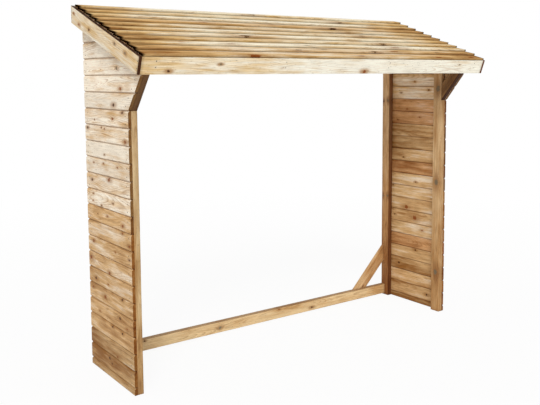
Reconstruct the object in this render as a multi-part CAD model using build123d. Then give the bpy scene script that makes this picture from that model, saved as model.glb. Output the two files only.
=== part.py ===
from build123d import *
import math
import os

# Log store: two boarded side panels on posts, a rail and braces at the back, and a sloping slatted roof.
# Millimetres, +Z up. The open front faces -Y and X runs from left to right seen from the front.
# The pieces are drawn with y = 0 at the front faces of the posts, and each is then moved so that the
# origin is on the ground under the middle of the whole store.

# Whole store
store_width = 2310.0
panel_depth = 552.0
first_joint_height = 36.0

# Cladding: tongued boards with a V at each joint on the outer face
cladding_thickness = 16.0
board_cover = 88.0
groove_width = 14.0
groove_depth = 7.0
flare_drop = 259.0
flare_angle = 50.0

# Planed timber of the frame
timber_thickness = 34.0
timber_width = 69.0
arris_radius = 3.0

# Rail and braces at the back
rail_lift = 10.0
brace_thickness = 22.0
brace_width = 80.0
right_brace_reach = 290.0
left_brace_reach = 250.0
brace_angle = 45.0

# Roof
roof_side_overhang = 60.0
roof_slope = 19.8
roof_front_overhang = 262.0
roof_rear_overhang = 0.0
roof_front_height = 1703.0
edge_board_thickness = 16.0
edge_board_height = 87.0
rafter_count = 4

# Roof slats: boards with a thick front edge and a thin back edge, each lapping the one in front
slat_exposure = 78.5
slat_width = 100.0
slat_front_thickness = 12.0
slat_back_thickness = 5.0
slat_rear_setback = 12.0

slope = math.radians(roof_slope)
roof_front = -roof_front_overhang
roof_rear = panel_depth + roof_rear_overhang
roof_length = (roof_rear - roof_front) / math.cos(slope)
roof_width = store_width + 2 * roof_side_overhang
flare_start_height = roof_front_height - flare_drop
outer_face = store_width / 2
cladding_inner = outer_face - cladding_thickness
post_inner = cladding_inner - timber_thickness
roof_inner = roof_width / 2 - edge_board_thickness
rear_post_front = panel_depth - timber_width


def roof_height(y, depth=0.0):
    """Height of the rafters' top plane at y, or of a plane that lies depth below it, square to it."""
    return roof_front_height + (y - roof_front) * math.tan(slope) - depth / math.cos(slope)


def roof_point(along, up):
    """(y, z) of a point that lies along the slope from the front edge, and up from the rafters' tops."""
    return (
        roof_front + along * math.cos(slope) - up * math.sin(slope),
        roof_front_height + along * math.sin(slope) + up * math.cos(slope),
    )


def side_profile(points, x_low, thickness):
    """A plate of one outline of (y, z) points that runs from x_low along +X."""
    outline = make_face(Polyline(*[(y, z) for y, z in points], close=True))
    plane = Plane(origin=(x_low, 0, 0), x_dir=(0, 1, 0), z_dir=(1, 0, 0))
    return extrude(plane * outline, thickness)


def on_side(side, near, far):
    """Lower x of a piece between the distances near and far from the middle, on the side -1 or +1."""
    return near if side > 0 else -far


def save(solid, name):
    middle_y = (roof_point(0, slat_front_thickness)[0] + roof_rear) / 2
    export_step(Pos(0, -middle_y, 0) * solid, os.path.join("parts", name + ".step"))


def below_roof(solid, depth):
    """The solid cut off along the plane that lies depth below the rafters' tops."""
    ahead = roof_front - timber_width
    behind = roof_rear + timber_width
    top = roof_height(behind, depth) + roof_length
    waste = side_profile(
        [
            (ahead, roof_height(ahead, depth)),
            (behind, roof_height(behind, depth)),
            (behind, top),
            (ahead, top),
        ],
        -store_width,
        2 * store_width,
    )
    return solid - waste


def flare_meets_roof(height, depth):
    """(y, z) where a leaning line from y = 0 at height meets the plane depth below the rafters' tops."""
    lean = math.tan(math.radians(flare_angle))
    y = (height - roof_height(0, depth)) / (lean + math.tan(slope))
    return (y, roof_height(y, depth))


def make_cladding(side):
    """One boarded side: square in front up to the flare, then leaning out under the roof."""
    notch = roof_rear - edge_board_thickness
    outline = [
        (0, 0),
        (panel_depth, 0),
        (panel_depth, roof_height(panel_depth, timber_width)),
        (notch, roof_height(notch, timber_width)),
        (notch, roof_height(notch)),
        flare_meets_roof(flare_start_height, 0),
        (0, flare_start_height),
    ]
    x_low = on_side(side, cladding_inner, outer_face)
    panel = side_profile(outline, x_low, cladding_thickness)
    top = roof_height(panel_depth) + board_cover
    section = [(side * cladding_inner, top), (side * cladding_inner, 0), (side * outer_face, 0)]
    height = first_joint_height
    while height < top - groove_width:
        section.append((side * outer_face, height - groove_width / 2))
        section.append((side * (outer_face - groove_depth), height))
        section.append((side * outer_face, height + groove_width / 2))
        height += board_cover
    section.append((side * outer_face, top))
    boards = Plane(origin=(0, panel_depth, 0), x_dir=(1, 0, 0), z_dir=(0, -1, 0)) * make_face(
        Polyline(*section, close=True)
    )
    return panel & extrude(boards, panel_depth - roof_front)


def make_post(side, y_low):
    """Upright with eased arrises, cut off along the underside of the rafters."""
    tall = roof_height(panel_depth)
    x_low = on_side(side, post_inner, cladding_inner)
    post = Pos(x_low + timber_thickness / 2, y_low + timber_width / 2, tall / 2) * Box(
        timber_thickness, timber_width, tall
    )
    post = fillet(post.edges().filter_by(Axis.Z), arris_radius)
    return below_roof(post, timber_width)


def make_flare_batten(side):
    """Batten behind the leaning edge of the cladding, from the post's front face up to the rafter."""
    rise = timber_width / math.cos(math.radians(flare_angle))
    outline = [
        (0, flare_start_height),
        (0, flare_start_height + rise),
        flare_meets_roof(flare_start_height + rise, timber_width),
        flare_meets_roof(flare_start_height, timber_width),
    ]
    return side_profile(outline, on_side(side, post_inner, cladding_inner), timber_thickness)


def make_rafter(x_middle):
    """Rafter from the back of the fascia to the rear board."""
    low_front = roof_point(edge_board_thickness, -timber_width)
    high_front = roof_point(edge_board_thickness, 0)
    back = roof_rear - edge_board_thickness
    outline = [
        low_front,
        (back, roof_height(back, timber_width)),
        (back, roof_height(back)),
        high_front,
    ]
    return side_profile(outline, x_middle - timber_thickness / 2, timber_thickness)


def make_fascia():
    """Front board, square to the slope, between the barge boards."""
    outline = [
        roof_point(0, 0),
        roof_point(0, -edge_board_height),
        roof_point(edge_board_thickness, -edge_board_height),
        roof_point(edge_board_thickness, 0),
    ]
    return side_profile(outline, -roof_inner, 2 * roof_inner)


def make_rear_board():
    """Upright board that closes the rear ends of the rafters, between the barge boards."""
    front = roof_rear - edge_board_thickness
    outline = [
        (front, roof_height(front, timber_width)),
        (roof_rear, roof_height(roof_rear, timber_width)),
        (roof_rear, roof_height(roof_rear)),
        (front, roof_height(front)),
    ]
    return side_profile(outline, -roof_inner, 2 * roof_inner)


def make_barge_board(side):
    """Side board of the roof: square end in front, plumb end at the back."""
    outline = [
        roof_point(0, 0),
        roof_point(0, -edge_board_height),
        (roof_rear, roof_height(roof_rear, edge_board_height)),
        (roof_rear, roof_height(roof_rear)),
    ]
    return side_profile(outline, on_side(side, roof_inner, roof_width / 2), edge_board_thickness)


def make_slats():
    """Roof slats from the front to the back; each front edge rests on the slat before it."""
    slats = []
    lift = 0.0
    along = 0.0
    thinning = (slat_front_thickness - slat_back_thickness) / slat_width
    high = 2 * roof_front_height
    slats_end = roof_rear - slat_rear_setback
    behind_slats = side_profile(
        [(slats_end, 0), (2 * roof_rear, 0), (2 * roof_rear, high), (slats_end, high)],
        -roof_width,
        2 * roof_width,
    )
    while along < roof_length - slat_exposure / 2:
        outline = [
            roof_point(along, lift),
            roof_point(along + slat_width, 0),
            roof_point(along + slat_width, slat_back_thickness),
            roof_point(along, lift + slat_front_thickness),
        ]
        slat = side_profile(outline, -roof_inner, 2 * roof_inner)
        if along + slat_width > roof_length - slat_width:
            slat = slat - behind_slats
        slats.append(slat)
        lift = lift * (1 - slat_exposure / slat_width) + slat_front_thickness - thinning * slat_exposure
        along += slat_exposure
    return slats


def make_cross_rail(y_low, bottom, bevelled):
    """Rail on edge between the posts of the two sides."""
    length = 2 * post_inner
    tall = 2 * timber_width if bevelled else timber_width
    rail = Pos(0, y_low + timber_thickness / 2, bottom + tall / 2) * Box(length, timber_thickness, tall)
    return below_roof(rail, timber_width)


def make_rear_brace(side, reach):
    """Brace that stands on the bottom rail, reach away from the rear post, and leans on that post."""
    lean = math.radians(brace_angle)
    foot = rail_lift + timber_width
    top = foot + reach * math.tan(lean)
    drop = brace_width / math.cos(lean)
    outline = Polyline(
        (side * (post_inner - reach), foot),
        (side * (post_inner - reach + drop / math.tan(lean)), foot),
        (side * post_inner, top - drop),
        (side * post_inner, top),
        close=True,
    )
    face = Plane(origin=(0, panel_depth, 0), x_dir=(1, 0, 0), z_dir=(0, -1, 0)) * make_face(outline)
    return extrude(face, brace_thickness)


os.makedirs("parts", exist_ok=True)

for side, word, brace_reach in ((-1, "left", left_brace_reach), (1, "right", right_brace_reach)):
    save(make_cladding(side), word + "_side_cladding")
    save(make_post(side, 0), word + "_front_post")
    save(make_post(side, rear_post_front), word + "_rear_post")
    save(make_flare_batten(side), word + "_flare_batten")
    save(make_rear_brace(side, brace_reach), word + "_rear_brace")
    save(make_barge_board(side), word + "_barge_board")

rafter_reach = cladding_inner - timber_thickness / 2
for number in range(rafter_count):
    x_middle = -rafter_reach + 2 * rafter_reach * number / (rafter_count - 1)
    save(make_rafter(x_middle), "rafter_" + str(number + 1))

save(make_cross_rail(panel_depth - timber_thickness, rail_lift, False), "rear_bottom_rail")
rear_rail_bottom = roof_height(panel_depth - timber_thickness, 2 * timber_width)
save(make_cross_rail(panel_depth - timber_thickness, rear_rail_bottom, True), "rear_top_rail")
front_rail_bottom = roof_height(0, 2 * timber_width)
save(make_cross_rail(0, front_rail_bottom, True), "front_top_rail")

save(make_fascia(), "front_fascia")
save(make_rear_board(), "roof_rear_board")
for number, slat in enumerate(make_slats()):
    save(slat, "roof_slat_" + str(number + 1))
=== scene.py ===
# Log store in planed and sawn softwood: two boarded sides, posts, a rail and braces at the back, a roof.
# Metres, +Z up. The open front faces -Y, and X runs from left to right seen from the front.
import math
import random
from collections import namedtuple

import bmesh
import bpy
from mathutils import Matrix, Vector, noise


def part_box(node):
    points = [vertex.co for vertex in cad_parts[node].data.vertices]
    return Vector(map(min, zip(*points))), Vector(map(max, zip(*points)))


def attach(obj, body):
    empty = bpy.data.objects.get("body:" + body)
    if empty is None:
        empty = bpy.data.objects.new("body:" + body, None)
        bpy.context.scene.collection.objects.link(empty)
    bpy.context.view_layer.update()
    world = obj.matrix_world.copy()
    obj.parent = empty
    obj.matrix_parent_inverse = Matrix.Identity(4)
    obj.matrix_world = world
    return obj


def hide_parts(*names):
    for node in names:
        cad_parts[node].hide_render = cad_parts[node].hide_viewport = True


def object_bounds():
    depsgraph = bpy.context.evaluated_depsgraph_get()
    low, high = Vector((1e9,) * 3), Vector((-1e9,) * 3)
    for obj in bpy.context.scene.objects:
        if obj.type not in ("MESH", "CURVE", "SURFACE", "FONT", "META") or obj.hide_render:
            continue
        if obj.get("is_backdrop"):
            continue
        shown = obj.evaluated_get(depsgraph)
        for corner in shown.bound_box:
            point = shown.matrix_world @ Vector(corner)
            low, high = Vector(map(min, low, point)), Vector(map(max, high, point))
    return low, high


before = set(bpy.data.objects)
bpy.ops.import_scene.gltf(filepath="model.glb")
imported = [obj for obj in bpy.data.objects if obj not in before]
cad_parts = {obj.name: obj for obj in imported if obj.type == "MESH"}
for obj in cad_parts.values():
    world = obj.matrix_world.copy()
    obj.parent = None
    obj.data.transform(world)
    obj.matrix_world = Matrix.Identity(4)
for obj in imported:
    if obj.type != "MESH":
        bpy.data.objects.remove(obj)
cad_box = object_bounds()

MM = 0.001

# Cladding: tongued boards with a V at each joint on the outer face
BOARD_COVER = 88 * MM
FIRST_JOINT = 36 * MM
V_SIZE = 7 * MM
V_SHOULDER = 0.2 * MM
JOINT_GAP = 0.6 * MM
TONGUE_LOW = 5 * MM
TONGUE_HIGH = 9 * MM
TONGUE_REACH = 7 * MM
TONGUE_PLAY = 0.3 * MM
INNER_ARRIS = 1 * MM
CLADDING_TRIM = 0.8 * MM
CLADDING_WARP = 0.6 * MM
NOTCH_EASE = 0.05 * MM
THINNEST_COURSE = 1 * MM

# Planed timber, edge boards and braces
TIMBER_WIDTH = 69 * MM
TIMBER_THICKNESS = 34 * MM
TIMBER_ARRIS = 3 * MM
TIMBER_WARP = 0.8 * MM
EDGE_BOARD_HEIGHT = 87 * MM
EDGE_BOARD_THICKNESS = 16 * MM
EDGE_BOARD_ARRIS = 1.5 * MM
BRACE_WIDTH = 80 * MM
BRACE_THICKNESS = 22 * MM
RAFTER_COUNT = 4

# Roof
SLOPE = math.radians(19.8)
FLARE = math.radians(50)
SLAT_COUNT = 11
SLAT_EXPOSURE = 78.5 * MM
SLAT_WIDTH = 100 * MM
SLAT_FRONT = 12 * MM
SLAT_BACK = 5 * MM
SLAT_ARRIS = 1.2 * MM
SLAT_SHADE = 3.5 * MM
SLAT_TRIM = 1.5 * MM

# Nail heads, how far they stand proud, and how far they stray from their line
NAIL_RADIUS = 3.2 * MM
NAIL_PROUD = 0.4 * MM
NAIL_STRAY = 3 * MM
NAIL_SIDE_STRAY = 4 * MM
CLADDING_NAIL_HEIGHTS = (0.25, 0.72)
FASCIA_NAIL_DEPTHS = (22 * MM, 52 * MM)
BARGE_NAIL_DEPTHS = (25 * MM, 60 * MM)
SLAT_NAIL_SETBACK = 22 * MM

# Places that the frame gives
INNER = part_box("right_side_cladding")[0].x
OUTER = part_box("right_side_cladding")[1].x
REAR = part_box("right_side_cladding")[1].y
POST_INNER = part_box("right_front_post")[0].x
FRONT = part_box("right_front_post")[0].y
FLARE_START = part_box("right_flare_batten")[0].z
ROOF_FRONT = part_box("front_fascia")[0].y
ROOF_FRONT_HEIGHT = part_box("front_fascia")[0].z + EDGE_BOARD_HEIGHT * math.cos(SLOPE)
ROOF_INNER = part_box("right_barge_board")[0].x
ROOF_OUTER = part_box("right_barge_board")[1].x
REAR_BOARD_FRONT = REAR - EDGE_BOARD_THICKNESS
RAIL_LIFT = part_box("rear_bottom_rail")[0].z
RAIL_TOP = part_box("rear_bottom_rail")[1].z
SLATS_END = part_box("roof_slat_" + str(SLAT_COUNT))[1].y

UP = Vector((0, 0, 1))
BACK = Vector((0, 1, 0))
RIGHT = Vector((1, 0, 0))
UP_SLOPE = Vector((0, math.cos(SLOPE), math.sin(SLOPE)))
OFF_SLOPE = Vector((0, -math.sin(SLOPE), math.cos(SLOPE)))
ROOF_CORNER = Vector((0, ROOF_FRONT, ROOF_FRONT_HEIGHT))

# Mesh: the longest side of a face, so that a face lies near one knot at most, and the angle of a sharp edge
FACE = 22 * MM
SHARP = math.radians(35)

# A board is sawn from a long log, with the pith this far behind or before its face
LOG_LENGTH = 20.0
NEAREST_PITH = 12 * MM
FARTHEST_PITH = 45 * MM
BENDS_PER_METRE = 2.5

# Kinds of knot, as the materials read them
RED, DARK, GREEN, PIN = 1.0, 2.0, 3.0, 4.0

# How many radii away a knot still counts, and what a face further off has instead
KNOT_REACH = 7
NO_KNOT = (9.0, 9.0, 0.0)

# How much longer than wide a knot is, how far it keeps from edges and ends, and the knots strewn at random
KNOT_STRETCH = 1.2
KNOT_MARGIN = 8 * MM
KNOT_END_MARGIN = 15 * MM
STRAY_KNOT_RADIUS = 6 * MM
STRAY_KNOT_GAP = 400 * MM
HIDDEN_KNOT_RADIUS = 7 * MM
TOP_RAIL_KNOT_GAP = 350 * MM
REAR_BOARD_KNOT_GAP = 500 * MM

# How a board looks: how bright, how red, how much heartwood, and how much more of it a metre further on
Look = namedtuple("Look", "tone red stain slant")
CREAM = Look(1.02, 0.0, -0.1, 0.0)
PALE = Look(1.0, 0.05, 0.25, 0.0)
TAN = Look(0.98, 0.1, 0.8, 0.0)
BROWN = Look(0.93, 0.1, 1.1, 0.0)
REDDISH = Look(0.96, 0.7, 0.85, 0.0)
ROSY = Look(1.03, 0.7, 0.65, 0.0)
# Cream brightened with painted light, against the shade under the roof's overhang
CREAM_WITH_PAINTED_LIGHT = Look(1.08, 0.0, -0.3, 0.0)
DULL = Look(0.83, 0.0, 1.2, 0.9)
FRONT_POST_LOOKS = {"left": Look(0.94, 0.0, 0.95, -0.4), "right": Look(0.94, 0.3, 0.95, -0.4)}
REAR_POST_LOOK = Look(0.99, 0.5, 2.0, -1.1)
# The flare battens' dark tone is painted shade, as they lie under the roof
SHADED_FLARE_LOOK = Look(0.53, 0.3, 0.9, 0.0)
RAFTER_LOOK = Look(0.9, 0.1, 0.6, 0.0)
BOTTOM_RAIL_LOOK = Look(1.05, 0.0, 0.15, 0.3)
TOP_RAIL_LOOK = Look(0.85, 0.2, 0.6, 0.0)
BRACE_LOOK = Look(0.97, 0.35, 0.2, 1.8)
BARGE_LOOK = Look(0.97, 0.1, 0.6, -0.3)
FASCIA_LOOK = Look(1.06, 0.0, 0.1, -0.6)
REAR_BOARD_LOOK = Look(0.95, 0.1, 0.7, 0.0)

# The boards of each side, from the ground up; the left side's top rows are brightened with painted light
LEFT_BOARDS = (DULL, DULL, DULL, BROWN, BROWN, BROWN, BROWN, TAN, TAN, TAN, TAN, PALE)
LEFT_BOARDS += (PALE, PALE, CREAM, PALE, PALE, CREAM, CREAM_WITH_PAINTED_LIGHT, CREAM_WITH_PAINTED_LIGHT, CREAM_WITH_PAINTED_LIGHT, CREAM_WITH_PAINTED_LIGHT, CREAM_WITH_PAINTED_LIGHT, CREAM_WITH_PAINTED_LIGHT)
# The right side's bottom board is dull and dark, with painted shade towards the rear corner
RIGHT_BOARDS = (DULL, BROWN, TAN, BROWN, TAN, REDDISH, PALE, TAN, TAN, PALE, PALE, REDDISH)
RIGHT_BOARDS += (TAN, BROWN, TAN, ROSY, ROSY, PALE, PALE, TAN, TAN, TAN, TAN, TAN)

# The right side has more heartwood than the left, and more yet towards the rear
LEFT_HEART, LEFT_RISE = 0.0, 0.0
RIGHT_HEART, RIGHT_RISE = 0.3, 0.7

# How dark a board's far, low, near and high faces are; on the flare battens this is painted shade
Cuts = namedtuple("Cuts", "far low near high", defaults=(0.0, 0.0, 0.0, 0.0))
FRONT_POST_CUTS = Cuts(low=0.13)
REAR_POST_CUTS = Cuts(low=0.78)
# The flare battens' forward faces are darkened with painted shade
FLARE_PAINTED_SHADE = {"left": Cuts(low=0.5), "right": Cuts(low=0.9)}
BOTTOM_RAIL_CUTS = Cuts(high=0.6)
BRACE_CUTS = Cuts(low=0.3)
BARGE_CUTS = Cuts(high=1.0)
FASCIA_CUTS = Cuts(high=0.6)

# The same for a slat: its butt's foot, with painted shadow; the rest of the butt, sawn and with some
# painted shade; the top in front of the next butt, with painted shadow; its back
SLAT_FOOT_SHADOW, SLAT_BUTT_CUT_AND_SHADE, SLAT_SHADE_CUT, SLAT_BACK_CUT = 0.6, 0.2, 0.4, 0.2

# How bright the sawn ends are: of a side's boards up to the last low row, of those above, of the barges
LOW_ENDS, HIGH_ENDS, LAST_LOW_ROW = 0.85, 0.5, 9
BARGE_ENDS = {"left": 1.3, "right": 3.1}

# Seeds, so that each run draws the same boards
LEFT_SIDE_SEED, RIGHT_SIDE_SEED = 1, 2
FRONT_POST_SEED = 10
REAR_POST_SEED = 20
FLARE_SEED = 30
BRACE_SEED = 35
BARGE_SEED = 38
RAFTER_SEED = 40
BOTTOM_RAIL_SEED = 51
FRONT_TOP_RAIL_SEED, REAR_TOP_RAIL_SEED = 55, 56
FASCIA_SEED = 61
REAR_BOARD_SEED = 62
SLAT_SEED = 70
CLADDING_NAIL_SEED = 80
ROOF_NAIL_SEED = 90


def roof_height(y, depth=0.0):
    """Height at y of the rafters' top plane, or of a plane that lies depth below it."""
    return ROOF_FRONT_HEIGHT + (y - ROOF_FRONT) * math.tan(SLOPE) - depth / math.cos(SLOPE)


def roof_y(z):
    """y at which the rafters' top plane has the height z."""
    return ROOF_FRONT + (z - ROOF_FRONT_HEIGHT) / math.tan(SLOPE)


def flare_y(z):
    """y of the sides' front edge at the height z: upright, then leaning forward under the roof."""
    return FRONT - max(0.0, z - FLARE_START) / math.tan(FLARE)


def low_x(side, inner, thickness):
    """Lower x of a piece that starts at the distance inner from the middle, on the side -1 or +1."""
    return inner if side > 0 else -inner - thickness


def placed(origin, along, across, depth):
    """Matrix that takes a board's own (along, across, depth) to its place in the store."""
    turn = Matrix((along, across, depth)).transposed().to_4x4()
    return Matrix.Translation(origin) @ turn


def divided(section, levels=()):
    """The section's outline with its long sides cut into short ones, also where it crosses the levels."""
    points = []
    for here, there in zip(section, section[1:] + section[:1]):
        span = max(abs(there[0] - here[0]), abs(there[1] - here[1]))
        parts = max(1, math.ceil(span / FACE))
        shares = [n / parts for n in range(parts)]
        for level in levels:
            if min(here[0], there[0]) < level < max(here[0], there[0]):
                shares.append((level - here[0]) / (there[0] - here[0]))
        for share in sorted(shares):
            across = here[0] + (there[0] - here[0]) * share
            depth = here[1] + (there[1] - here[1]) * share
            points.append((across, depth, here[2]))
    return points


def eased(low, high, near, far, arris, cuts_and_shade=Cuts(), steps=3):
    """Outline of a rectangle across from low to high and deep from near to far, with rounded arrises.

    An arris is as dark as the darker face beside it.
    """
    corners = (
        (high - arris, far - arris, 0),
        (low + arris, far - arris, 90),
        (low + arris, near + arris, 180),
        (high - arris, near + arris, 270),
    )
    outline = []
    for n, (across, depth, turn) in enumerate(corners):
        for step in range(steps + 1):
            angle = math.radians(turn + 90 * step / steps)
            shade = cuts_and_shade[n] if step == steps else max(cuts_and_shade[n - 1], cuts_and_shade[n])
            outline.append((across + arris * math.cos(angle), depth + arris * math.sin(angle), shade))
    return outline


def new_object(name, mesh, material):
    """Object of that mesh and material, in the scene."""
    data = bpy.data.meshes.new(name)
    mesh.to_mesh(data)
    mesh.free()
    data.materials.append(material)
    made = bpy.data.objects.new(name, data)
    bpy.context.scene.collection.objects.link(made)
    return made


def at(limit, across):
    """Where a board ends at that place across it: the limit itself, or what it gives there as a function."""
    return limit(across) if callable(limit) else limit


Knot = namedtuple("Knot", "along across radius kind")
Corner = namedtuple("Corner", "vert here share from_end")


class Boards:
    """Boards of one piece, whose corners keep their place in the grain, by a knot and on the board."""

    def __init__(self, seed, stretch=KNOT_STRETCH):
        self.chance = random.Random(seed)
        self.stretch = stretch
        self.mesh = bmesh.new()
        vectors = self.mesh.loops.layers.float_vector
        self.grain = vectors.new("grain")
        self.knot = vectors.new("knot")
        self.board = vectors.new("board")
        self.place = vectors.new("place")

    def nearest(self, spot, knots):
        """The knot nearest to the spot in its own radii, or None when all are out of reach."""
        found = None
        least = KNOT_REACH
        for knot in knots:
            beside = (knot.along - spot.x) / self.stretch
            away = math.hypot(beside, knot.across - spot.y) / knot.radius
            if away < least:
                found = knot
                least = away
        return found

    def paint(self, face, corners, cut_and_shade, shift, knots, look):
        """Writes one face's grain, nearest knot, board look and place on the board to its corners."""
        near = self.nearest(sum((c.here for c in corners), Vector()) / len(corners), knots)
        for loop, corner in zip(face.loops, corners):
            here = corner.here
            loop[self.grain] = here + shift
            loop[self.board] = (look.tone, look.red, look.stain + look.slant * here.x)
            loop[self.place] = (cut_and_shade, corner.share, corner.from_end)
            if near is None:
                loop[self.knot] = NO_KNOT
            else:
                beside = (here.x - near.along) / (self.stretch * near.radius)
                loop[self.knot] = (beside, (here.y - near.across) / near.radius, near.kind)

    def add(self, section, start, end, place, look, knots=(), warp=0.0, levels=(), sawn=1.0):
        """One board of that section, from start to end, which are numbers or functions of the place across.

        The board wanders by up to warp. Its outline also gets points at the levels across it, and sawn says
        how bright its sawn ends are.
        """
        low = min(p[0] for p in section)
        high = max(p[0] for p in section)
        shift = Vector(
            (
                self.chance.uniform(0, LOG_LENGTH),
                self.chance.uniform(-0.5, 0.5) * (high - low) - (low + high) / 2,
                self.chance.choice((-1, 1)) * self.chance.uniform(NEAREST_PITH, FARTHEST_PITH),
            )
        )
        bend = self.chance.uniform(0, 100)
        outline = divided(section, levels)
        spans = [(at(start, p[0]), at(end, p[0])) for p in outline]
        steps = max(1, math.ceil(max(b - a for a, b in spans) / FACE))
        rings = []
        for step in range(steps + 1):
            ring = []
            for (across, depth, cut_and_shade), (a, b) in zip(outline, spans):
                along = a + (b - a) * step / steps
                lift = warp * noise.noise(Vector((along * BENDS_PER_METRE, bend, 0)))
                sway = warp * noise.noise(Vector((along * BENDS_PER_METRE, bend, 7)))
                here = Vector((along, across, depth))
                vert = self.mesh.verts.new(place @ (here + Vector((0, sway, lift))))
                share = (across - low) / (high - low)
                ring.append(Corner(vert, here, share, min(along - a, b - along)))
            rings.append(ring)
        for ring, following in zip(rings, rings[1:]):
            for n in range(len(ring)):
                m = (n + 1) % len(ring)
                corners = (ring[n], ring[m], following[m], following[n])
                face = self.mesh.faces.new([c.vert for c in corners])
                self.paint(face, corners, outline[n][2], shift, knots, look)
        for ring in (rings[0], rings[-1]):
            face = self.mesh.faces.new([c.vert for c in ring])
            self.paint(face, ring, 1.0, shift, (), look._replace(tone=look.tone * sawn))

    def finish(self, name, material, slot, *nodes):
        """The piece itself, which takes the place of those nodes."""
        bmesh.ops.recalc_face_normals(self.mesh, faces=self.mesh.faces)
        piece = new_object(name, self.mesh, material)
        piece.data.shade_smooth()
        piece.data.set_sharp_from_angle(angle=SHARP)
        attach(piece, "root")
        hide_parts(*nodes)

    def scattered(self, start, end, low, high, gap, radius, kinds):
        """Knots about gap apart on a board from start to end and low to high."""
        knots = []
        along = start + self.chance.uniform(0.2, 1) * gap
        while along < end - KNOT_END_MARGIN:
            across = self.chance.uniform(low + KNOT_MARGIN, high - KNOT_MARGIN)
            size = radius * self.chance.uniform(0.6, 1.4)
            knots.append(Knot(along, across, size, self.chance.choice(kinds)))
            along += gap * self.chance.uniform(0.5, 1.5)
        return knots


def linear(code):
    """Linear colour of an sRGB hex value."""
    parts = [int(code[n : n + 2], 16) / 255 for n in (1, 3, 5)]
    return tuple(c / 12.92 if c <= 0.04045 else ((c + 0.055) / 1.055) ** 2.4 for c in parts) + (1.0,)


def add(tree, kind, inputs=None, **settings):
    """Adds a node with its settings. An input is a value, or the output of another node.

    Inputs 0 to 4 of a Map Range are the value, the range that comes in and the range that goes out. A Mix of
    colours has its share at 0 and the two colours at 6 and 7.
    """
    made = tree.nodes.new("ShaderNode" + kind)
    for name, value in settings.items():
        setattr(made, name, value)
    for name, value in (inputs or {}).items():
        if isinstance(value, bpy.types.NodeSocket):
            tree.links.new(value, made.inputs[name])
        else:
            made.inputs[name].default_value = value
    return made


# Waves of each pattern to a metre, along the grain and across it. Fibres are drawn 5 mm apart and rings 6 to
# 8 mm, which is coarser than in real wood, because finer ones wouldn't show in the render.
PITH_WANDER = (1.3, 0.0, 0.0)
UNEVEN_RINGS = (6.0, 60.0, 60.0)
BROAD_STREAKS = (1.6, 17.0, 17.0)
BLOTCHES = (7.0, 15.0, 15.0)
FIBRES = (14.0, 200.0, 200.0)
SPECKS = (70.0, 260.0, 260.0)
RAGGED_KNOTS = 90.0

# How far the pith wanders across the board and behind it, how uneven rings are, and how a knot moves them
PITH_DRIFT = (0.0, 0.16, 0.12)
RING_UNEVENNESS = 3 * MM
KNOT_PUSH = 6 * MM
KNOT_SWELL = 8 * MM

# In radii from a knot's middle: where its heart ends, its stain fades, and its push and swell fade
HEART_FROM, HEART_TO = 0.6, 0.9
STAIN_FROM, STAIN_TO = 0.4, 2.6
PUSH_FROM, PUSH_TO = 0.5, 4.0
SWELL_TO = 3.4

# A knot's stain reaches further along the board than across it: what each way counts in the distance to it
STAIN_STRETCH = (0.6, 1.15, 0.0)

# Where most of a noise's values lie
NOISE_LOW, NOISE_HIGH = 0.3, 0.7

# How much the heartwood varies in blotches and in fine waves
BLOTCH_SHARE = 0.22
FINE_SHARE = 0.35

# How much is left of the rings where they show least
FAINTEST_RINGS = 0.3

# Specks: the noise values between which they come in, and how much of the wood's colour they take
SPECK_FROM, SPECK_TO, SPECK_SHARE = 0.66, 0.76, 0.5

# Fibres: how dark and how bright they make the wood, how uneven its roughness, and how far they stand up
FIBRE_DARK, FIBRE_BRIGHT = 0.84, 1.13
ROUGHNESS_SPREAD = 0.06
FIBRE_RELIEF = 0.4 * MM

# How much of a knot's own tone covers the wood
KNOT_SHARE = 0.95

# The dirt and painted shade of a joint lie this far from a board's middle, as a share of its width
DIRT_AND_SHADE_FROM, DIRT_AND_SHADE_TO = 0.4, 0.5

# Darkening at the ends: full up to the first distance, and gone at the second; and how far the wood yellows
END_DARKENING, END_DARKENING_FADES, END_YELLOWING = 3 * MM, 16 * MM, 500 * MM

# Tones of the knots: sound red-brown, dead and nearly black, green-grey, and small dark ones
KNOT_TONES = ("#8c4c20", "#4e2c10", "#7f735b", "#5a3817")

# Specks in the grain, what a red board adds, and what the dirt and painted shade in a joint leave of the
# wood's colour
SPECK_TONE = "#5f4226"
RED_TINT = "#f2d2c0"
JOINT_DIRT_AND_SHADE = "#80562f"

# Typical for wood
WOOD_IOR = 1.45


def knot_distances(tree, grain, knot):
    """Distances from the knot in radii, a little uneven: to the knot itself, and longer along the board."""
    ragged = add(tree, "TexNoise", {"Vector": grain, "Scale": RAGGED_KNOTS, "Detail": 2.0}).outputs["Color"]
    ragged = add(tree, "VectorMath", {0: ragged, 1: (0.5, 0.5, 0.5)}, operation="SUBTRACT").outputs[0]
    ragged = add(tree, "VectorMath", {0: ragged, 1: (0.9, 0.9, 0.0)}, operation="MULTIPLY").outputs[0]
    spot = add(tree, "VectorMath", {0: knot, 1: (1.0, 1.0, 0.0)}, operation="MULTIPLY").outputs[0]
    spot = add(tree, "VectorMath", {0: spot, 1: ragged}, operation="ADD").outputs[0]
    away = add(tree, "VectorMath", {0: spot}, operation="LENGTH").outputs["Value"]
    wide = add(tree, "VectorMath", {0: spot, 1: STAIN_STRETCH}, operation="MULTIPLY").outputs[0]
    wide = add(tree, "VectorMath", {0: wide}, operation="LENGTH").outputs["Value"]
    return away, wide


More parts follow.
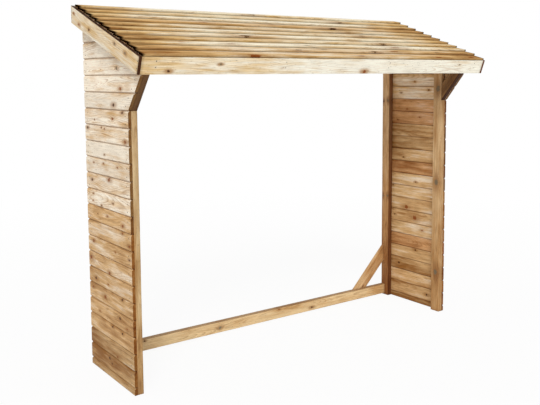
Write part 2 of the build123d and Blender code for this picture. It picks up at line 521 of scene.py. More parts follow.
def parted_grain(tree, grain, beside, away):
    """The grain's own place, pushed aside round the knot."""
    push = {0: away, 1: PUSH_FROM, 2: PUSH_TO, 3: KNOT_PUSH, 4: 0.0}
    push = add(tree, "MapRange", push, interpolation_type="SMOOTHSTEP").outputs[0]
    side = add(tree, "Math", {0: beside, 1: away}, operation="DIVIDE").outputs[0]
    push = add(tree, "Math", {0: side, 1: push}, operation="MULTIPLY").outputs[0]
    push = add(tree, "CombineXYZ", {1: push}).outputs[0]
    return add(tree, "VectorMath", {0: grain, 1: push}, operation="SUBTRACT").outputs[0]


def growth_rings(tree, grain, fine, away, ring_gap):
    """Rings round a pith that wanders along the board: pale, darker by degrees, then sharply pale again."""
    slow = add(tree, "VectorMath", {0: grain, 1: PITH_WANDER}, operation="MULTIPLY").outputs[0]
    drift = add(tree, "TexNoise", {"Vector": slow, "Scale": 1.0, "Detail": 1.0}).outputs["Color"]
    drift = add(tree, "VectorMath", {0: drift, 1: (0.5, 0.5, 0.5)}, operation="SUBTRACT").outputs[0]
    drift = add(tree, "VectorMath", {0: drift, 1: PITH_DRIFT}, operation="MULTIPLY").outputs[0]
    flat = add(tree, "VectorMath", {0: grain, 1: (0.0, 1.0, 1.0)}, operation="MULTIPLY").outputs[0]
    reach = add(tree, "VectorMath", {0: flat, 1: drift}, operation="ADD").outputs[0]
    reach = add(tree, "VectorMath", {0: reach}, operation="LENGTH").outputs["Value"]
    swell = {0: away, 1: 0.0, 2: SWELL_TO, 3: KNOT_SWELL, 4: 0.0}
    swell = add(tree, "MapRange", swell, interpolation_type="SMOOTHSTEP").outputs[0]
    reach = add(tree, "Math", {0: fine, 1: RING_UNEVENNESS, 2: reach}, operation="MULTIPLY_ADD").outputs[0]
    reach = add(tree, "Math", {0: reach, 1: swell}, operation="ADD").outputs[0]
    ring = add(tree, "Math", {0: reach, 1: ring_gap}, operation="DIVIDE").outputs[0]
    ring = add(tree, "Math", {0: ring}, operation="FRACT").outputs[0]
    ring = add(tree, "ValToRGB", {0: ring})
    ring.color_ramp.elements[0].color = (0.0, 0.0, 0.0, 1.0)
    ring.color_ramp.elements[1].position = 0.85
    ring.color_ramp.elements[1].color = (1.0, 1.0, 1.0, 1.0)
    ring.color_ramp.elements.new(0.5).color = (0.15, 0.15, 0.15, 1.0)
    ring.color_ramp.elements.new(1.0).color = (0.0, 0.0, 0.0, 1.0)
    return ring.outputs[0]


def knotted(tree, colour, deep, away, wide, blotch, kind, stained):
    """The colour with the stain round a knot, and the knot itself in the tone of its kind."""
    # Blotches make the stain's edge uneven, by up to one and a half radii each way
    loose = add(tree, "Math", {0: blotch, 1: 3.0, 2: -1.5}, operation="MULTIPLY_ADD").outputs[0]
    loose = add(tree, "Math", {0: loose, 1: wide}, operation="ADD").outputs[0]
    halo = {0: loose, 1: STAIN_FROM, 2: STAIN_TO, 3: stained, 4: 0.0}
    halo = add(tree, "MapRange", halo, interpolation_type="SMOOTHSTEP").outputs[0]
    colour = add(tree, "Mix", {0: halo, 6: colour, 7: linear(deep)}, data_type="RGBA").outputs[2]
    kind = add(tree, "Math", {0: kind, 1: 0.2}, operation="MULTIPLY").outputs[0]
    heart = add(tree, "ValToRGB", {0: kind})
    heart.color_ramp.interpolation = "CONSTANT"
    heart.color_ramp.elements[0].color = linear(KNOT_TONES[0])
    heart.color_ramp.elements[1].position = 0.3
    heart.color_ramp.elements[1].color = linear(KNOT_TONES[1])
    heart.color_ramp.elements.new(0.5).color = linear(KNOT_TONES[2])
    heart.color_ramp.elements.new(0.7).color = linear(KNOT_TONES[3])
    core = {0: away, 1: HEART_FROM, 2: HEART_TO, 3: KNOT_SHARE, 4: 0.0}
    core = add(tree, "MapRange", core, interpolation_type="SMOOTHSTEP").outputs[0]
    return add(tree, "Mix", {0: core, 6: colour, 7: heart.outputs[0]}, data_type="RGBA").outputs[2]


def worn(tree, colour, cut_and_shade_tone, cut_and_shade, share, from_end, ends, dirt_and_shade):
    """The colour with dim sawn faces, dim faces with painted shade, darkened ends, and grime and painted
    shade along the joints.
    """
    from_middle = add(tree, "Math", {0: share, 1: 0.5}, operation="SUBTRACT").outputs[0]
    from_middle = add(tree, "Math", {0: from_middle}, operation="ABSOLUTE").outputs[0]
    edge = {0: from_middle, 1: DIRT_AND_SHADE_FROM, 2: DIRT_AND_SHADE_TO, 3: 0.0, 4: dirt_and_shade}
    edge = add(tree, "MapRange", edge, interpolation_type="SMOOTHSTEP").outputs[0]
    ended = {0: from_end, 1: END_DARKENING, 2: END_DARKENING_FADES, 3: ends, 4: 0.0}
    ended = add(tree, "MapRange", ended).outputs[0]
    dim = add(tree, "Math", {0: ended, 1: cut_and_shade}, operation="MAXIMUM").outputs[0]
    dimmed = add(tree, "VectorMath", {0: colour, 1: linear(cut_and_shade_tone)[:3]}, operation="MULTIPLY").outputs[0]
    colour = add(tree, "Mix", {0: dim, 6: colour, 7: dimmed}, data_type="RGBA").outputs[2]
    dirty_and_shaded = add(tree, "VectorMath", {0: colour, 1: linear(JOINT_DIRT_AND_SHADE)[:3]}, operation="MULTIPLY").outputs[0]
    return add(tree, "Mix", {0: edge, 6: colour, 7: dirty_and_shaded}, data_type="RGBA").outputs[2]


def softwood(
    name, tones, roughness, ring_gap, lines, streaks, dirt_and_shade=0.0, ends=0.0, gloss=0.15, stained=0.85
):
    """Softwood with growth rings, streaks, fibres, knots and specks.

    tones are pale sapwood, warm heartwood, the deep tone of late wood and of the stain round a knot, and
    what dims sawn faces and faces with painted shade. lines and streaks say how strongly rings and streaks
    show, dirt_and_shade how dark the edges along a joint and the upper half of each board are, with grime
    and painted shade, ends how dark the last few millimetres at each end are, and stained how much stain a
    knot has. gloss is the shader's own specular level.
    """
    pale, warm, deep, cut_and_shade_tone = tones
    material = bpy.data.materials.new(name)
    material.use_nodes = True
    tree = material.node_tree
    tree.nodes.clear()
    grain = add(tree, "Attribute", attribute_name="grain").outputs["Vector"]
    knot = add(tree, "Attribute", attribute_name="knot").outputs["Vector"]
    board = add(tree, "Attribute", attribute_name="board").outputs["Vector"]
    place = add(tree, "Attribute", attribute_name="place").outputs["Vector"]
    beside, kind = add(tree, "SeparateXYZ", {0: knot}).outputs[1:]
    tone, red, stain = add(tree, "SeparateXYZ", {0: board}).outputs
    cut_and_shade, share, from_end = add(tree, "SeparateXYZ", {0: place}).outputs

    # Patterns in the grain, which parts round the knots
    away, wide = knot_distances(tree, grain, knot)
    grain = parted_grain(tree, grain, beside, away)
    fine = add(tree, "VectorMath", {0: grain, 1: UNEVEN_RINGS}, operation="MULTIPLY").outputs[0]
    fine = add(tree, "TexNoise", {"Vector": fine, "Scale": 1.0, "Detail": 3.0}).outputs["Fac"]
    ring = growth_rings(tree, grain, fine, away, ring_gap)
    broad = add(tree, "VectorMath", {0: grain, 1: BROAD_STREAKS}, operation="MULTIPLY").outputs[0]
    broad = {"Vector": broad, "Scale": 1.0, "Detail": 5.0, "Roughness": 0.6}
    broad = add(tree, "TexNoise", broad).outputs["Fac"]
    blotch = add(tree, "VectorMath", {0: grain, 1: BLOTCHES}, operation="MULTIPLY").outputs[0]
    blotch = add(tree, "TexNoise", {"Vector": blotch, "Scale": 1.0, "Detail": 3.0}).outputs["Fac"]
    fibre = add(tree, "VectorMath", {0: grain, 1: FIBRES}, operation="MULTIPLY").outputs[0]
    fibre = add(tree, "TexNoise", {"Vector": fibre, "Scale": 1.0, "Detail": 3.0}).outputs["Fac"]
    speck = add(tree, "VectorMath", {0: grain, 1: SPECKS}, operation="MULTIPLY").outputs[0]
    speck = add(tree, "TexNoise", {"Vector": speck, "Scale": 1.0, "Detail": 1.0}).outputs["Fac"]

    # How much heartwood there is at each point, from sapwood at 0 to late wood at 1
    amount = {0: broad, 1: NOISE_LOW, 2: NOISE_HIGH, 3: -0.5 * streaks, 4: 0.5 * streaks}
    amount = add(tree, "MapRange", amount, clamp=False).outputs[0]
    amount = add(tree, "Math", {0: amount, 1: stain}, operation="ADD").outputs[0]
    patches = {0: blotch, 1: NOISE_LOW, 2: NOISE_HIGH, 3: -BLOTCH_SHARE, 4: BLOTCH_SHARE}
    patches = add(tree, "MapRange", patches, clamp=False).outputs[0]
    amount = add(tree, "Math", {0: amount, 1: patches}, operation="ADD").outputs[0]
    # Dirt and painted shade darken the upper half of each board, below the joint above it
    upper = add(tree, "MapRange", {0: share, 1: 0.5, 2: 1.0, 3: 0.0, 4: 0.3 * dirt_and_shade}).outputs[0]
    amount = add(tree, "Math", {0: amount, 1: upper}, operation="ADD").outputs[0]
    thin = {0: fine, 1: NOISE_LOW, 2: NOISE_HIGH, 3: -FINE_SHARE, 4: FINE_SHARE}
    thin = add(tree, "MapRange", thin, clamp=False).outputs[0]
    amount = add(tree, "Math", {0: amount, 1: thin}, operation="ADD").outputs[0]
    yellowed = {0: from_end, 1: 0.0, 2: END_YELLOWING, 3: 1.15 * ends, 4: 0.0}
    yellowed = add(tree, "MapRange", yellowed).outputs[0]
    amount = add(tree, "Math", {0: amount, 1: yellowed}, operation="ADD").outputs[0]
    amount = add(tree, "Math", {0: amount, 1: 0.5}, operation="MULTIPLY").outputs[0]
    body = add(tree, "ValToRGB", {0: amount})
    body.color_ramp.elements[0].color = linear(pale)
    body.color_ramp.elements[1].color = linear(deep)
    body.color_ramp.elements.new(0.5).color = linear(warm)

    # Rings and specks, knots, the fibres and the board's own tone and red, and wear, dirt and painted shade
    shown = {0: blotch, 1: 0.35, 2: 0.65, 3: FAINTEST_RINGS * lines, 4: lines}
    shown = add(tree, "MapRange", shown).outputs[0]
    shown = add(tree, "Math", {0: ring, 1: shown}, operation="MULTIPLY").outputs[0]
    colour = add(tree, "Mix", {0: shown, 6: body.outputs[0], 7: linear(deep)}, data_type="RGBA").outputs[2]
    dots = add(tree, "MapRange", {0: speck, 1: SPECK_FROM, 2: SPECK_TO, 3: 0.0, 4: SPECK_SHARE}).outputs[0]
    colour = add(tree, "Mix", {0: dots, 6: colour, 7: linear(SPECK_TONE)}, data_type="RGBA").outputs[2]
    colour = knotted(tree, colour, deep, away, wide, blotch, kind, stained)
    fibres = {0: fibre, 1: 0.25, 2: 0.75, 3: FIBRE_DARK, 4: FIBRE_BRIGHT}
    fibres = add(tree, "MapRange", fibres).outputs[0]
    fibres = add(tree, "Math", {0: fibres, 1: tone}, operation="MULTIPLY").outputs[0]
    tint = add(tree, "Mix", {0: red, 6: (1, 1, 1, 1), 7: linear(RED_TINT)}, data_type="RGBA").outputs[2]
    colour = add(tree, "VectorMath", {0: colour, 1: tint}, operation="MULTIPLY").outputs[0]
    colour = add(tree, "VectorMath", {0: colour, "Scale": fibres}, operation="SCALE").outputs[0]
    colour = worn(tree, colour, cut_and_shade_tone, cut_and_shade, share, from_end, ends, dirt_and_shade)

    relief = add(tree, "Math", {0: ring, 1: fibre}, operation="ADD").outputs[0]
    bump = add(tree, "Bump", {"Height": relief, "Strength": 0.4, "Distance": FIBRE_RELIEF}).outputs[0]
    smooth, rough = roughness - ROUGHNESS_SPREAD, roughness + ROUGHNESS_SPREAD
    sheen = {0: fibre, 1: NOISE_LOW, 2: NOISE_HIGH, 3: smooth, 4: rough}
    sheen = add(tree, "MapRange", sheen).outputs[0]
    finish = {"Base Color": colour, "Roughness": sheen, "Normal": bump}
    finish.update({"IOR": WOOD_IOR, "Specular IOR Level": gloss})
    shader = add(tree, "BsdfPrincipled", finish)
    add(tree, "OutputMaterial", {"Surface": shader.outputs[0]})
    return material


# The roughness of the four woods is a typical one: about 0.6 for planed softwood, and 0.8 for sawn

# Planed cladding boards: cream sapwood to brown heartwood, golden sawn ends, and dirt and painted shade
# along the joints and towards each board's top
cladding_wood = softwood(
    "planed_softwood_cladding",
    ("#fff3de", "#dfb883", "#9a6731", "#b8905c"),
    roughness=0.62,
    ring_gap=6 * MM,
    lines=0.6,
    streaks=1.35,
    dirt_and_shade=0.75,
    stained=0.65,
)

# Planed frame timber: browner, from the preservative
frame_wood = softwood(
    "planed_softwood_frame",
    ("#e8cc9d", "#c69d68", "#8d6036", "#80583a"),
    roughness=0.6,
    ring_gap=6 * MM,
    lines=0.5,
    streaks=1.1,
    ends=0.3,
    stained=0.7,
)

# Fascia and barge boards: the palest, with long quiet grain and dark sawn ends
edge_wood = softwood(
    "planed_softwood_edge_boards",
    ("#fffae8", "#e8c994", "#a8763c", "#442a16"),
    roughness=0.58,
    ring_gap=8 * MM,
    lines=0.45,
    streaks=1.2,
    ends=0.3,
)

# Roof slats: rough sawn, dull and tan, with brown butts and nearly black ends, both partly painted shade
roof_wood = softwood(
    "sawn_softwood_slats",
    ("#fff7de", "#e5c286", "#9a6a38", "#22150b"),
    roughness=0.8,
    ring_gap=6 * MM,
    lines=0.5,
    streaks=1.3,
    ends=0.85,
    gloss=0.0,
    stained=0.5,
)


# The two woods of single pieces of timber, each with a name
PLANED = (frame_wood, "planed_timber")
EDGE = (edge_wood, "edge_boards")


def tongued(low, high, bottom_square, top_square):
    """Section of a cladding board from joint to joint; a square edge has no groove or tongue."""
    thick = OUTER - INNER
    bottom = low if bottom_square else low + JOINT_GAP / 2
    top = high if top_square else high - JOINT_GAP / 2
    section = [(bottom, INNER_ARRIS, 0.0)]
    if bottom_square:
        section += [(bottom, thick - INNER_ARRIS, 0.0), (bottom + INNER_ARRIS, thick, 0.0)]
    else:
        deep = bottom + TONGUE_REACH + TONGUE_PLAY
        section += [
            (bottom, TONGUE_LOW - TONGUE_PLAY, 0.0),
            (deep, TONGUE_LOW - TONGUE_PLAY, 0.0),
            (deep, TONGUE_HIGH + TONGUE_PLAY, 0.0),
            (bottom, TONGUE_HIGH + TONGUE_PLAY, 0.0),
            (bottom, thick - V_SIZE + V_SHOULDER, 0.0),
            (bottom + V_SIZE, thick, 0.0),
        ]
    if top_square:
        section += [(top, thick, 0.0), (top, 0.0, 0.0)]
    else:
        section += [
            (top - V_SIZE, thick, 0.0),
            (top, thick - V_SIZE + V_SHOULDER, 0.0),
            (top, TONGUE_HIGH, 0.0),
            (top + TONGUE_REACH, TONGUE_HIGH, 0.0),
            (top + TONGUE_REACH, TONGUE_LOW, 0.0),
            (top, TONGUE_LOW, 0.0),
            (top, INNER_ARRIS, 0.0),
            (top - INNER_ARRIS, 0.0, 0.0),
        ]
    section.append((bottom + INNER_ARRIS, 0.0, 0.0))
    return section


def courses(top):
    """Row, bottom and top of each cladding board from the ground up that starts below the height top."""
    row = 0
    low = 0.0
    high = FIRST_JOINT
    while low < top:
        yield row, low, high
        low = high
        high += BOARD_COVER
        row += 1


# Knots of the left side as the photograph shows them, by board from the ground up:
# millimetres from the rear edge, height in the board from 0 to 1, radius in millimetres, kind
LEFT_SIDE_KNOTS = {
    1: [(246, 0.75, 10, DARK), (275, 0.5, 8, DARK)],
    2: [(350, 0.2, 8, RED)],
    3: [(296, 0.9, 8, DARK), (420, 0.85, 8, DARK)],
    4: [(394, 0.7, 10, DARK), (130, 0.4, 6, RED), (476, 0.3, 7, RED)],
    5: [(50, 0.75, 9, RED), (210, 0.5, 13, RED), (426, 0.9, 8, DARK)],
    6: [(90, 0.4, 11, DARK), (254, 0.4, 7, RED)],
    7: [(30, 0.6, 15, RED), (276, 0.15, 10, RED)],
    8: [(74, 0.75, 10, RED), (356, 0.6, 6, RED), (524, 0.5, 6, DARK)],
    9: [(450, 0.9, 7, RED), (530, 0.3, 8, RED)],
    10: [(266, 0.6, 6, RED), (140, 0.55, 5, PIN), (456, 0.35, 9, RED)],
    11: [(344, 0.5, 6, DARK), (86, 0.75, 5, RED), (196, 0.15, 6, DARK), (80, 0.3, 6, RED)],
    12: [(76, 0.6, 10, DARK), (300, 0.85, 12, RED)],
    13: [(106, 0.7, 6, RED), (234, 0.75, 6, RED), (410, 0.7, 6, RED)],
    14: [(250, 0.3, 5, PIN)],
    15: [(34, 0.8, 9, DARK), (220, 0.9, 6, RED), (260, 0.85, 6, RED), (510, 0.25, 11, RED)],
    16: [(484, 0.9, 9, DARK), (365, 0.5, 9, RED), (130, 0.35, 5, PIN)],
    17: [(382, 0.3, 11, DARK)],
    18: [(470, 0.25, 11, RED)],
    19: [(432, 0.4, 10, GREEN)],
    21: [(180, 0.35, 12, RED)],
}

# Knots of the right side, seen from inside
RIGHT_SIDE_KNOTS = {
    1: [(415, 0.5, 9, DARK)],
    3: [(145, 0.5, 11, DARK)],
    4: [(303, 0.88, 8, DARK)],
    6: [(365, 0.6, 8, RED)],
    7: [(295, 0.5, 19, RED), (100, 0.5, 6, PIN)],
    8: [(213, 0.25, 17, RED)],
    9: [(80, 0.9, 6, DARK)],
    10: [(300, 0.4, 6, DARK)],
    12: [(180, 0.3, 6, PIN)],
    15: [(120, 0.3, 6, PIN), (330, 0.6, 6, RED)],
    16: [(210, 0.2, 7, RED)],
    17: [(150, 0.5, 5, PIN), (410, 0.75, 7, DARK)],
    18: [(280, 0.4, 6, RED)],
}


def side_knots(table, row, low, high):
    """Knots of one board of a side, from that side's table."""
    found = []
    for back, share, radius, kind in table.get(row, ()):
        found.append(Knot(REAR - back * MM, low + share * (high - low), radius * MM, kind))
    return found


def varied(look, seed, heart, rise):
    """The look a little changed, as no two boards are alike, with more heartwood, also towards the rear."""
    chance = random.Random(seed)
    tone = look.tone * chance.uniform(0.96, 1.03)
    red = look.red * chance.uniform(0.7, 1.0)
    stain = look.stain + (heart + chance.uniform(-0.1, 0.1))
    return Look(tone, red, stain, look.slant + rise + chance.uniform(-0.3, 0.3))


def make_cladding(side, word, seed, looks, heart, rise, knots):
    """The separate boards of one side, from the ground to the roof."""
    boards = Boards(seed)
    top = roof_height(REAR_BOARD_FRONT)
    notch = roof_height(REAR, TIMBER_WIDTH)
    place = placed(Vector((side * INNER, 0, 0)), BACK, UP, side * RIGHT)
    for row, low, high in courses(top - THINNEST_COURSE):
        upper = min(high, top)
        trim = boards.chance.uniform(-CLADDING_TRIM, CLADDING_TRIM)
        boards.add(
            tongued(low, upper, row == 0, high >= top),
            lambda across: max(flare_y(across), roof_y(across)) + trim,
            lambda across: REAR if across < notch else REAR_BOARD_FRONT,
            place,
            varied(looks[row], 100 * seed + row, heart, rise),
            side_knots(knots, row, low, upper),
            warp=CLADDING_WARP,
            levels=(notch - NOTCH_EASE, notch + NOTCH_EASE),
            sawn=HIGH_ENDS if row > LAST_LOW_ROW else LOW_ENDS,
        )
    boards.finish(word + "_cladding_boards", cladding_wood, "cladding_boards", word + "_side_cladding")


def make_timber(name, seed, section, start, end, place, look, wood, node, knots=None, sawn=1.0):
    """One piece of timber of that section that takes the place of its node, with those or stray knots."""
    boards = Boards(seed)
    if knots is None:
        low = min(p[0] for p in section)
        high = max(p[0] for p in section)
        middle = (low + high) / 2
        first = at(start, middle)
        last = at(end, middle)
        kinds = (RED, DARK, GREEN)
        knots = boards.scattered(first, last, low, high, STRAY_KNOT_GAP, STRAY_KNOT_RADIUS, kinds)
    boards.add(section, start, end, place, look, knots, warp=TIMBER_WARP, sawn=sawn)
    boards.finish(name, *wood, node)


# Knots of the posts: millimetres above the ground and behind the post's front face, radius, kind
POST_KNOTS = {
    "left_front_post": [(420, 50, 5, PIN), (1180, 45, 5, PIN)],
    "right_front_post": [(270, 30, 19, GREEN), (890, 34, 20, GREEN), (1520, 30, 22, GREEN)],
    "left_rear_post": [(310, 20, 8, DARK), (1010, 48, 9, RED), (1600, 30, 7, DARK)],
    "right_rear_post": [
        (740, 12, 10, GREEN),
        (735, 55, 9, GREEN),
        (1432, 14, 10, GREEN),
        (1425, 58, 9, DARK),
    ],
}


def make_post(side, name, y_low, seed, look, cuts_and_shade):
    """Upright, cut off along the underside of the rafters."""
    x_low = low_x(side, POST_INNER, TIMBER_THICKNESS)
    make_timber(
        name + "_timber",
        seed,
        eased(0.0, TIMBER_WIDTH, 0.0, TIMBER_THICKNESS, TIMBER_ARRIS, cuts_and_shade),
        0.0,
        lambda across: roof_height(y_low + across, TIMBER_WIDTH),
        placed(Vector((x_low, y_low, 0)), UP, BACK, RIGHT),
        look,
        PLANED,
        name,
        knots=[Knot(up * MM, back * MM, radius * MM, kind) for up, back, radius, kind in POST_KNOTS[name]],
    )


def make_front_post(side, word):
    """Front post, a little weathered in front."""
    seed = FRONT_POST_SEED + side
    make_post(side, word + "_front_post", FRONT, seed, FRONT_POST_LOOKS[word], FRONT_POST_CUTS)


def make_rear_post(side, word):
    """Rear post, brown in front."""
    y_low = REAR - TIMBER_WIDTH
    make_post(side, word + "_rear_post", y_low, REAR_POST_SEED + side, REAR_POST_LOOK, REAR_POST_CUTS)


def make_flare_batten(side, word, seed):
    """Leaning batten behind the cladding's front edge, from the post's face up to the rafter."""
    up = Vector((0, -math.cos(FLARE), math.sin(FLARE)))
    inward = Vector((0, math.sin(FLARE), math.cos(FLARE)))
    x_low = low_x(side, POST_INNER, TIMBER_THICKNESS)
    # How high the rafters' underside is above its start, and what a step up and across it makes of that
    rise = roof_height(FRONT, TIMBER_WIDTH) - FLARE_START
    gain = math.sin(FLARE) + math.cos(FLARE) * math.tan(SLOPE)
    loss = math.sin(FLARE) * math.tan(SLOPE) - math.cos(FLARE)
    make_timber(
        word + "_flare_timber",
        seed,
        eased(0.0, TIMBER_WIDTH, 0.0, TIMBER_THICKNESS, TIMBER_ARRIS, FLARE_PAINTED_SHADE[word]),
        lambda across: across * math.tan(FLARE),
        lambda across: (rise + across * loss) / gain,
        placed(Vector((x_low, FRONT, FLARE_START)), up, inward, RIGHT),
        SHADED_FLARE_LOOK,
        PLANED,
        word + "_flare_batten",
        knots=(),
    )


def make_rafter(number):
    """Rafter from the back of the fascia to the rear board."""
    low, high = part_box("rafter_" + str(number))
    make_timber(
        "rafter_timber_" + str(number),
        RAFTER_SEED + number,
        eased(-TIMBER_WIDTH, 0.0, 0.0, high.x - low.x, TIMBER_ARRIS),
        EDGE_BOARD_THICKNESS,
        lambda across: (REAR_BOARD_FRONT - ROOF_FRONT + across * math.sin(SLOPE)) / math.cos(SLOPE),
        placed(Vector((low.x, ROOF_FRONT, ROOF_FRONT_HEIGHT)), UP_SLOPE, OFF_SLOPE, RIGHT),
        RAFTER_LOOK,
        PLANED,
        "rafter_" + str(number),
    )


# Knots of the bottom rail: millimetres from its middle and above its bottom edge, radius, kind
RAIL_KNOTS = [(-845, 58, 6, DARK), (-325, 30, 12, GREEN), (135, 60, 6, RED), (415, 22, 8, DARK)]


def make_bottom_rail():
    """Rail on edge between the rear posts, a finger's width off the ground."""
    make_timber(
        "rear_bottom_rail_timber",
        BOTTOM_RAIL_SEED,
        eased(0.0, RAIL_TOP - RAIL_LIFT, 0.0, TIMBER_THICKNESS, TIMBER_ARRIS, BOTTOM_RAIL_CUTS),
        -POST_INNER,
        POST_INNER,
        placed(Vector((0, REAR - TIMBER_THICKNESS, RAIL_LIFT)), RIGHT, UP, BACK),
        BOTTOM_RAIL_LOOK,
        PLANED,
        "rear_bottom_rail",
        knots=[Knot(x * MM, up * MM, radius * MM, kind) for x, up, radius, kind in RAIL_KNOTS],
    )


def make_top_rail(where, y_low, seed):
    """Rail under the rafters with its top edge planed to the slope."""
    boards = Boards(seed)
    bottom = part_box(where + "_top_rail")[0].z
    near = roof_height(y_low, TIMBER_WIDTH)
    far = roof_height(y_low + TIMBER_THICKNESS, TIMBER_WIDTH)
    section = [
        (bottom, 0.0, 0.0),
        (near, 0.0, 0.0),
        (far, TIMBER_THICKNESS, 0.0),
        (bottom, TIMBER_THICKNESS, 0.0),
    ]
    boards.add(
        section,
        -POST_INNER,
        POST_INNER,
        placed(Vector((0, y_low, 0)), RIGHT, UP, BACK),
        TOP_RAIL_LOOK,
        boards.scattered(
            -POST_INNER, POST_INNER, bottom, near, TOP_RAIL_KNOT_GAP, HIDDEN_KNOT_RADIUS, (RED, DARK)
        ),
    )
    boards.finish(where + "_top_rail_timber", *PLANED, where + "_top_rail")


# Knot of the braces, up the brace and below its upper edge
BRACE_KNOT = Knot(70 * MM, -50 * MM, 5 * MM, DARK)


def make_rear_brace(side, word, seed):
    """Thin board that stands on the bottom rail and leans on the rear post."""
    low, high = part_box(word + "_rear_brace")
    reach = high.x - low.x
    toe = Vector((side * (POST_INNER - reach), REAR - BRACE_THICKNESS, RAIL_TOP))
    half = math.sqrt(0.5)
    make_timber(
        word + "_brace_board",
        seed,
        eased(-BRACE_WIDTH, 0.0, 0.0, BRACE_THICKNESS, TIMBER_ARRIS, BRACE_CUTS),
        lambda across: -across,
        lambda across: reach / half + across,
        placed(toe, Vector((side * half, 0, half)), Vector((-side * half, 0, half)), BACK),
        BRACE_LOOK,
        PLANED,
        word + "_rear_brace",
        knots=[BRACE_KNOT],
    )


# Knots of the barge boards: millimetres up the slope and below the top edge, radius, kind
BARGE_KNOTS = [(147, 33, 9, GREEN), (272, 26, 8, GREEN), (592, 52, 8, DARK)]
BARGE_KNOTS += [(729, 65, 8, RED), (815, 30, 6, RED)]


def make_barge_board(side, word, seed):
    """Side board of the roof, square in front and plumb at the back."""
    x_low = low_x(side, ROOF_INNER, ROOF_OUTER - ROOF_INNER)
    make_timber(
        word + "_barge_board_timber",
        seed,
        eased(-EDGE_BOARD_HEIGHT, 0.0, 0.0, EDGE_BOARD_THICKNESS, EDGE_BOARD_ARRIS, BARGE_CUTS),
        0.0,
        lambda across: (REAR - ROOF_FRONT + across * math.sin(SLOPE)) / math.cos(SLOPE),
        placed(Vector((x_low, ROOF_FRONT, ROOF_FRONT_HEIGHT)), UP_SLOPE, OFF_SLOPE, RIGHT),
        BARGE_LOOK,
        EDGE,
        word + "_barge_board",
        knots=[Knot(up * MM, -down * MM, radius * MM, kind) for up, down, radius, kind in BARGE_KNOTS],
        sawn=BARGE_ENDS[word],
    )


# Knots of the fascia: millimetres from its left end and below its top edge, radius, kind
FASCIA_KNOTS = [(144, 70, 8, DARK), (427, 35, 6, GREEN), (1388, 74, 12, RED), (2182, 30, 6, GREEN)]


def make_fascia():
    """Front board, square to the slope, between the barge boards."""
    knots = []
    for from_left, down, radius, kind in FASCIA_KNOTS:
        knots.append(Knot(-ROOF_INNER + from_left * MM, -down * MM, radius * MM, kind))
    make_timber(
        "front_fascia_board",
        FASCIA_SEED,
        eased(-EDGE_BOARD_HEIGHT, 0.0, 0.0, EDGE_BOARD_THICKNESS, EDGE_BOARD_ARRIS, FASCIA_CUTS),
        -ROOF_INNER,
        ROOF_INNER,
        placed(ROOF_CORNER, RIGHT, OFF_SLOPE, UP_SLOPE),
        FASCIA_LOOK,
        EDGE,
        "front_fascia",
        knots=knots,
    )


def make_rear_board():
    """Upright board that closes the rafters' rear ends."""
    boards = Boards(REAR_BOARD_SEED)
    bottom = roof_height(REAR, TIMBER_WIDTH)
    top = roof_height(REAR_BOARD_FRONT)
    section = [
        (roof_height(REAR_BOARD_FRONT, TIMBER_WIDTH), 0.0, 0.0),
        (top, 0.0, 0.0),
        (roof_height(REAR), EDGE_BOARD_THICKNESS, 0.0),
        (bottom, EDGE_BOARD_THICKNESS, 0.0),
    ]
    boards.add(
        section,
        -ROOF_INNER,
        ROOF_INNER,
        placed(Vector((0, REAR_BOARD_FRONT, 0)), RIGHT, UP, BACK),
        REAR_BOARD_LOOK,
        boards.scattered(
            -ROOF_INNER, ROOF_INNER, bottom, top, REAR_BOARD_KNOT_GAP, HIDDEN_KNOT_RADIUS, (RED, DARK)
        ),
    )
    boards.finish("roof_rear_board_timber", *EDGE, "roof_rear_board")


# Looks of the slats, from the front to the back
SLATS = (
    Look(0.99, 0.25, 0.7, 0.05),
    Look(1.0, 0.2, 0.6, 0.0),
    Look(1.04, 0.0, 0.05, -0.15),
    Look(1.0, 0.1, 0.45, -0.15),
    Look(1.04, 0.05, 0.25, 0.0),
    Look(1.0, 0.1, 0.45, 0.0),
    Look(0.99, 0.1, 0.5, 0.0),
    Look(0.99, 0.25, 0.6, 0.15),
    Look(1.03, 0.0, 0.2, 0.15),
    Look(1.01, 0.05, 0.4, 0.0),
    Look(1.02, 0.0, 0.2, 0.0),
)

# Knots of the slats, from the front to the back: millimetres from the left end, share of the width that
# shows, radius, kind
SLAT_KNOTS = {
    1: [(620, 0.1, 13, RED), (1360, 0.25, 8, RED), (1990, 0.2, 10, RED), (2300, 0.3, 10, RED)],
    2: [
        (960, 0.15, 8, PIN),
        (1160, 0.5, 8, GREEN),
        (1510, 0.12, 9, PIN),
        (1690, 0.3, 12, RED),
        (2050, 0.15, 8, PIN),
    ],
    3: [(300, 0.5, 8, RED), (580, 0.2, 9, RED), (1080, 0.3, 8, GREEN), (1770, 0.3, 12, RED)],
    4: [(1720, 0.15, 12, PIN), (420, 0.7, 6, PIN)],
    5: [(770, 0.2, 15, PIN)],
    6: [(1690, 0.15, 10, PIN), (1240, 0.6, 6, PIN)],
    7: [(700, 0.2, 9, PIN), (1640, 0.15, 10, PIN)],
    8: [(640, 0.3, 10, RED), (1120, 0.5, 10, RED), (1566, 0.12, 12, PIN)],
    9: [(350, 0.6, 7, PIN), (1980, 0.5, 8, RED)],
    10: [(1750, 0.15, 12, PIN)],
    11: [(1110, 0.15, 10, PIN), (260, 0.6, 7, PIN)],
}

# Slat knots are long and large, because the roof is seen at a flat angle and small ones wouldn't show
SLAT_KNOT_STRETCH = 2.6
SLAT_KNOT_GROWTH = 1.4


def laid_slats():
    """Each slat's number, how far up the slope it starts, and how high its front edge rests there."""
    thinning = (SLAT_FRONT - SLAT_BACK) / SLAT_WIDTH
    along = 0.0
    lift = 0.0
    for number in range(1, SLAT_COUNT + 1):
        yield number, along, lift
        lift = lift * (1 - SLAT_EXPOSURE / SLAT_WIDTH) + SLAT_FRONT - thinning * SLAT_EXPOSURE
        along += SLAT_EXPOSURE


